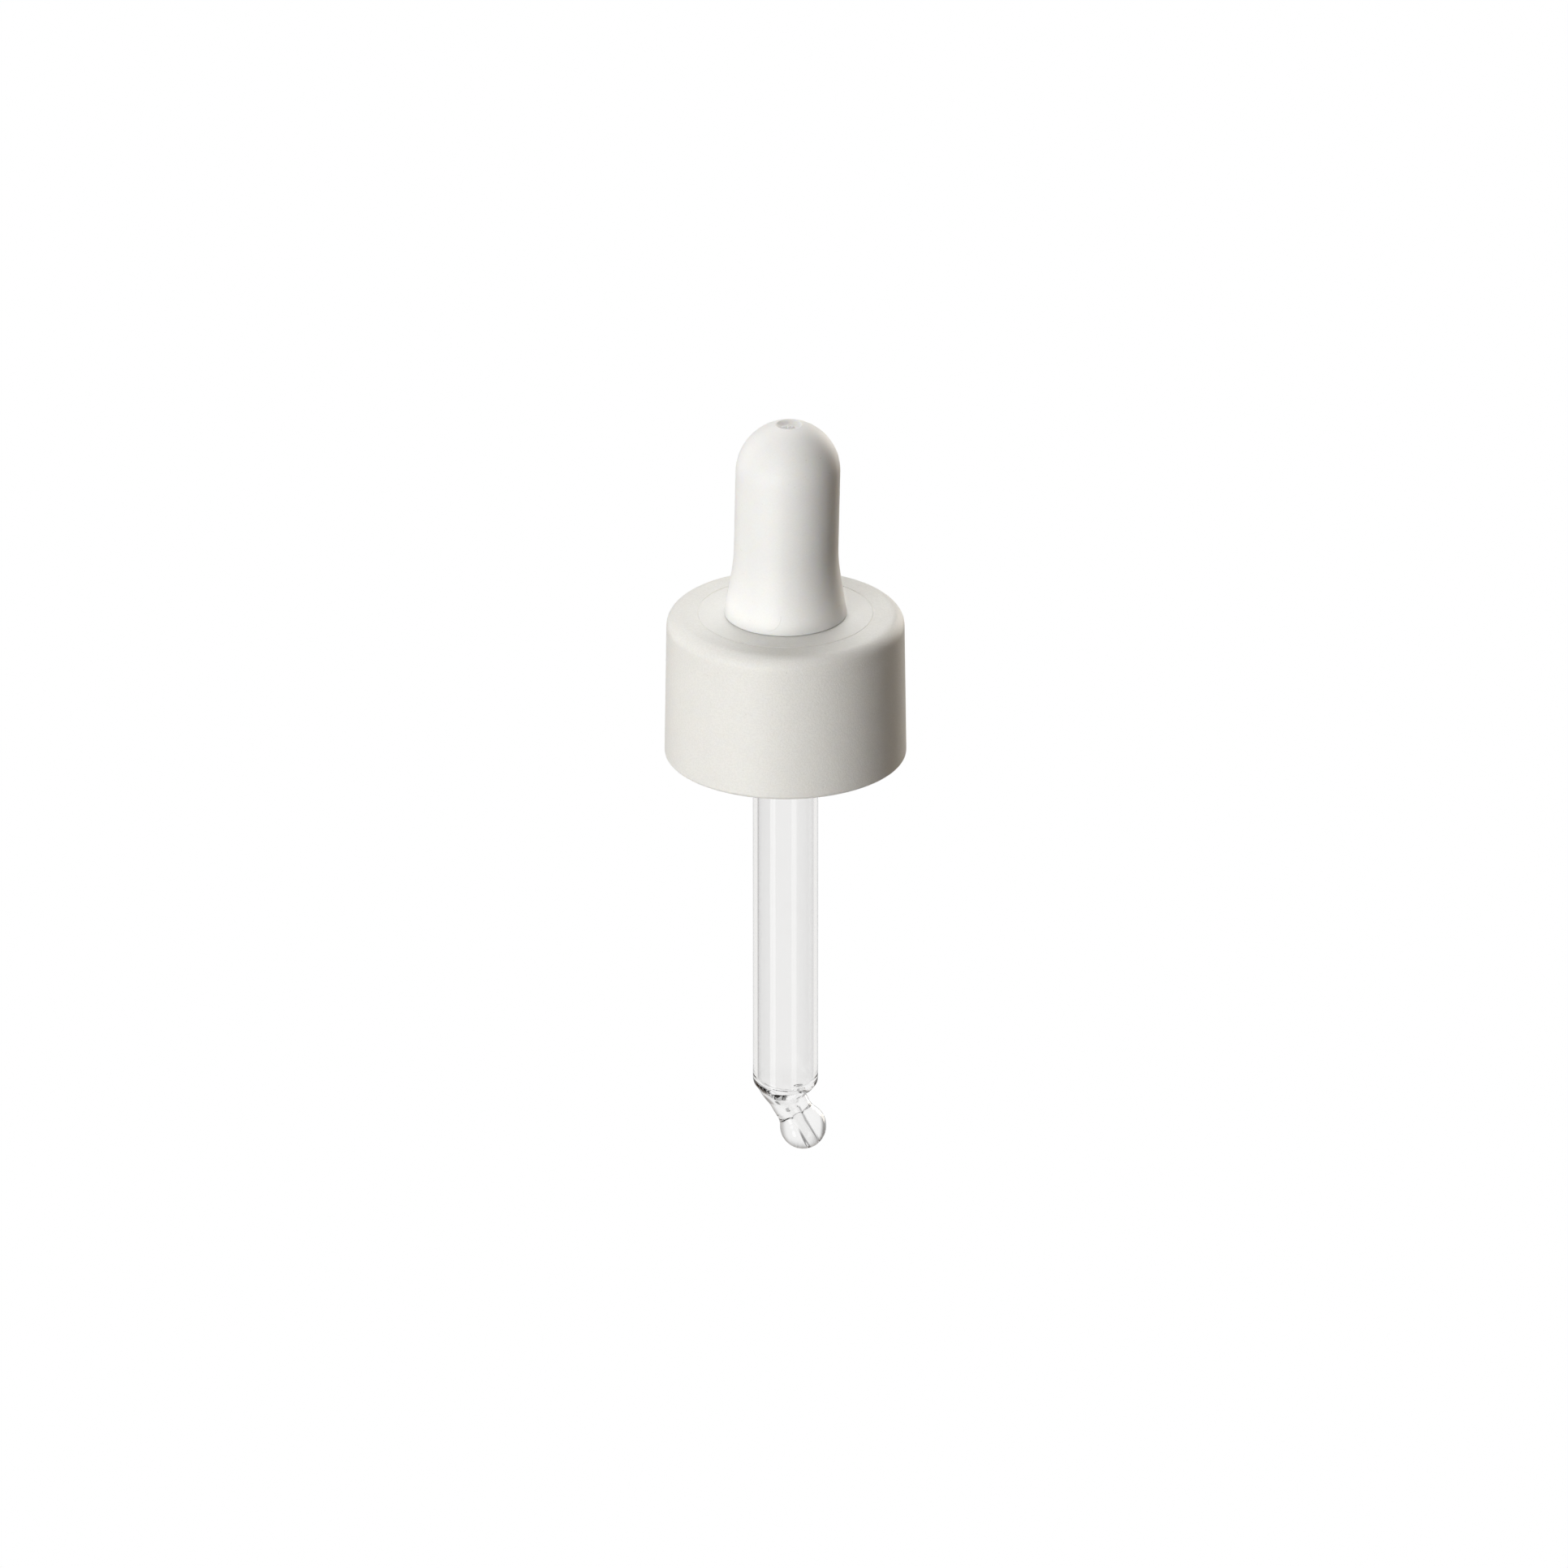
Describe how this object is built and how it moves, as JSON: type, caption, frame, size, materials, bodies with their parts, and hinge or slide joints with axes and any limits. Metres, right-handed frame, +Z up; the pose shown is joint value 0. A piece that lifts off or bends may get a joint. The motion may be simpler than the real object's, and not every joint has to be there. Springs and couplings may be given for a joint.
{
  "type": "medicine dropper",
  "caption": "Medicine dropper with a screw cap, a rubber bulb that is squeezed, and a glass pipette whose bent tip ends in a ball.",
  "frame": {"origin": "on the pipette's axis, in the plane of the bulb's flange that seals on the bottle's rim", "axes": "+Z up along the pipette's axis towards the bulb's top, +X the way the tip is bent, +Y completes a right-handed frame"},
  "size_m": [0.0258, 0.0258, 0.0843],
  "materials": {
    "cap_plastic": "moulded polypropylene, warm off-white, fine sand texture",
    "bulb_rubber": "off-white moulded rubber, satin",
    "pipette_glass": "clear drawn borosilicate glass, flame-worked tip"
  },
  "bodies": {
    "cap": {"screw_cap": "cap_plastic"},
    "bulb": {"rubber_bulb": "bulb_rubber"},
    "grip_left": {"bulb_grip_left": "bulb_rubber"},
    "grip_right": {"bulb_grip_right": "bulb_rubber"},
    "pipette": {"glass_pipette": "pipette_glass"}
  },
  "joints": [
    {"name": "bulb_turn", "type": "hinge", "parent": "cap", "child": "bulb", "pos_m": [0, 0, 0.002], "axis": [0, 0, 1], "continuous": true},
    {"name": "squeeze_left", "type": "slide", "parent": "bulb", "child": "grip_left", "axis": [1, 0, 0], "range_m": [0, 0.0028], "stiffness_N_per_m": 1200},
    {"name": "squeeze_right", "type": "slide", "parent": "bulb", "child": "grip_right", "axis": [-1, 0, 0], "range_m": [0, 0.0028], "stiffness_N_per_m": 1200},
    {"name": "pipette_pull", "type": "slide", "parent": "bulb", "child": "pipette", "axis": [0, 0, -1], "range_m": [0, 0.022]}
  ],
  "couplings": [
    {"joint": "squeeze_right", "follows": "squeeze_left", "ratio": 1}
  ]
}
